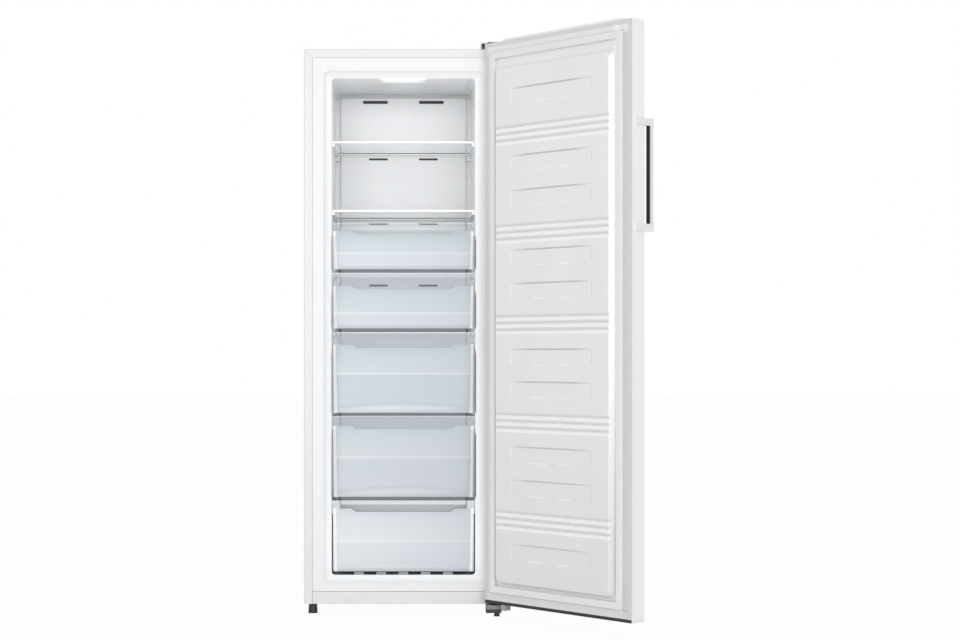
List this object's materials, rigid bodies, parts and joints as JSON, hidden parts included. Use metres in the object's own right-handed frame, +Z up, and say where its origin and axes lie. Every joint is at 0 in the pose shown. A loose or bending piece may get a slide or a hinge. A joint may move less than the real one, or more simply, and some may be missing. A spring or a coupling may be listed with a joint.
{
  "type": "upright freezer",
  "caption": "Tall free-standing freezer, its door hung on the right and standing open, with glass shelves over clear pull-out drawers, a bar handle, front feet and rear rollers.",
  "frame": {"origin": "on the floor, under the middle of the cabinet's width and depth", "axes": "+Z up, -Y out of the open front, +X to the right as seen from the front, towards the hinge side"},
  "size_m": [0.9884, 1.0901, 1.709],
  "materials": {
    "white_steel": "smooth white enamel on steel sheet",
    "galvanised_sheet": "plain zinc-coated sheet",
    "hinge_steel": "satin zinc",
    "black_enamel": "satin black enamel",
    "insulation_foam": "rigid pale yellow foam",
    "white_liner": "thermoformed white plastic",
    "white_plastic": "moulded white plastic",
    "grey_plastic": "moulded grey plastic",
    "black_plastic": "moulded black plastic",
    "clear_blue_plastic": "clear plastic with a faint blue tint",
    "frosted_lens": "frosted clear plastic",
    "shelf_glass": "toughened glass, polished edges",
    "satin_aluminium": "satin anodised",
    "fin_aluminium": "bare fins and tube",
    "copper_tube": "bare copper, dulled",
    "grey_seal": "soft light grey seal",
    "black_rubber": "black rubber",
    "board_green": "white circuit board with small lamps",
    "zinc_screws": "zinc plated"
  },
  "bodies": {
    "cabinet": {"cabinet_wrapper": "white_steel", "rear_panel": "galvanised_sheet", "kick_strip": "white_steel", "cabinet_foam": "insulation_foam", "inner_liner": "white_liner", "base_pan": "galvanised_sheet", "machine_room_cover": "galvanised_sheet", "mains_inlet": "black_rubber", "evaporator_cover": "white_plastic", "air_duct": "insulation_foam", "fan_motor": "black_plastic", "evaporator": "fin_aluminium", "defrost_heater": "fin_aluminium", "lamp_cover": "frosted_lens", "lamp_board": "board_green", "compressor": "black_enamel", "compressor_mounts": "black_rubber", "start_relay": "black_plastic", "drip_tray": "black_plastic", "filter_drier": "copper_tube", "refrigerant_tubes": "copper_tube", "control_box": "black_plastic", "top_hinge": "hinge_steel", "top_hinge_cover": "white_plastic", "bottom_hinge": "hinge_steel", "foot_block": "black_plastic", "hinge_screws": "zinc_screws", "roller_brackets": "hinge_steel"},
    "door": {"door_skin": "white_steel", "door_liner": "white_liner", "door_foam": "insulation_foam", "door_top_cap": "white_plastic", "door_bottom_cap": "black_plastic", "door_gasket": "grey_seal", "door_bushes": "grey_plastic", "door_guide": "grey_plastic", "handle_bar": "satin_aluminium", "handle_grip": "black_plastic", "handle_brackets": "satin_aluminium"},
    "shelf_1": {"shelf_1_glass": "shelf_glass", "shelf_1_trims": "white_plastic"},
    "shelf_2": {"shelf_2_glass": "shelf_glass", "shelf_2_trims": "white_plastic"},
    "drawer_1": {"drawer_1_front": "clear_blue_plastic", "drawer_1_bin": "clear_blue_plastic"},
    "drawer_2": {"drawer_2_front": "clear_blue_plastic", "drawer_2_bin": "clear_blue_plastic"},
    "drawer_3": {"drawer_3_front": "clear_blue_plastic", "drawer_3_bin": "clear_blue_plastic"},
    "drawer_4": {"drawer_4_front": "clear_blue_plastic", "drawer_4_bin": "clear_blue_plastic"},
    "drawer_5": {"drawer_5_front": "clear_blue_plastic", "drawer_5_bin": "clear_blue_plastic"},
    "fan": {"fan_impeller": "grey_plastic"},
    "left_roller": {"left_roller": "black_plastic"},
    "right_roller": {"right_roller": "black_plastic"},
    "left_foot": {"left_foot": "black_plastic"},
    "right_foot": {"right_foot": "black_plastic"}
  },
  "joints": [
    {"name": "door_hinge", "type": "hinge", "parent": "cabinet", "child": "door", "pos_m": [0.2775, -0.3335, 0.9], "axis": [0, 0, 1], "range_deg": [-130, 5]},
    {"name": "shelf_1_slide", "type": "slide", "parent": "cabinet", "child": "shelf_1", "axis": [0, -1, 0], "range_m": [0, 0.3]},
    {"name": "shelf_2_slide", "type": "slide", "parent": "cabinet", "child": "shelf_2", "axis": [0, -1, 0], "range_m": [0, 0.3]},
    {"name": "drawer_1_slide", "type": "slide", "parent": "cabinet", "child": "drawer_1", "axis": [0, -1, 0], "range_m": [0, 0.3]},
    {"name": "drawer_2_slide", "type": "slide", "parent": "cabinet", "child": "drawer_2", "axis": [0, -1, 0], "range_m": [0, 0.3]},
    {"name": "drawer_3_slide", "type": "slide", "parent": "cabinet", "child": "drawer_3", "axis": [0, -1, 0], "range_m": [0, 0.3]},
    {"name": "drawer_4_slide", "type": "slide", "parent": "cabinet", "child": "drawer_4", "axis": [0, -1, 0], "range_m": [0, 0.3]},
    {"name": "drawer_5_slide", "type": "slide", "parent": "cabinet", "child": "drawer_5", "axis": [0, -1, 0], "range_m": [0, 0.18]},
    {"name": "fan_spin", "type": "hinge", "parent": "cabinet", "child": "fan", "pos_m": [0, 0.1255, 1.05], "axis": [0, 1, 0], "continuous": true},
    {"name": "left_roller_spin", "type": "hinge", "parent": "cabinet", "child": "left_roller", "pos_m": [-0.255, 0.2475, 0.0135], "axis": [1, 0, 0], "continuous": true},
    {"name": "right_roller_spin", "type": "hinge", "parent": "cabinet", "child": "right_roller", "pos_m": [0.255, 0.2475, 0.0135], "axis": [1, 0, 0], "continuous": true},
    {"name": "left_foot_height", "type": "slide", "parent": "cabinet", "child": "left_foot", "axis": [0, 0, -1], "range_m": [0, 0.012]},
    {"name": "right_foot_height", "type": "slide", "parent": "cabinet", "child": "right_foot", "axis": [0, 0, -1], "range_m": [0, 0.012]}
  ]
}
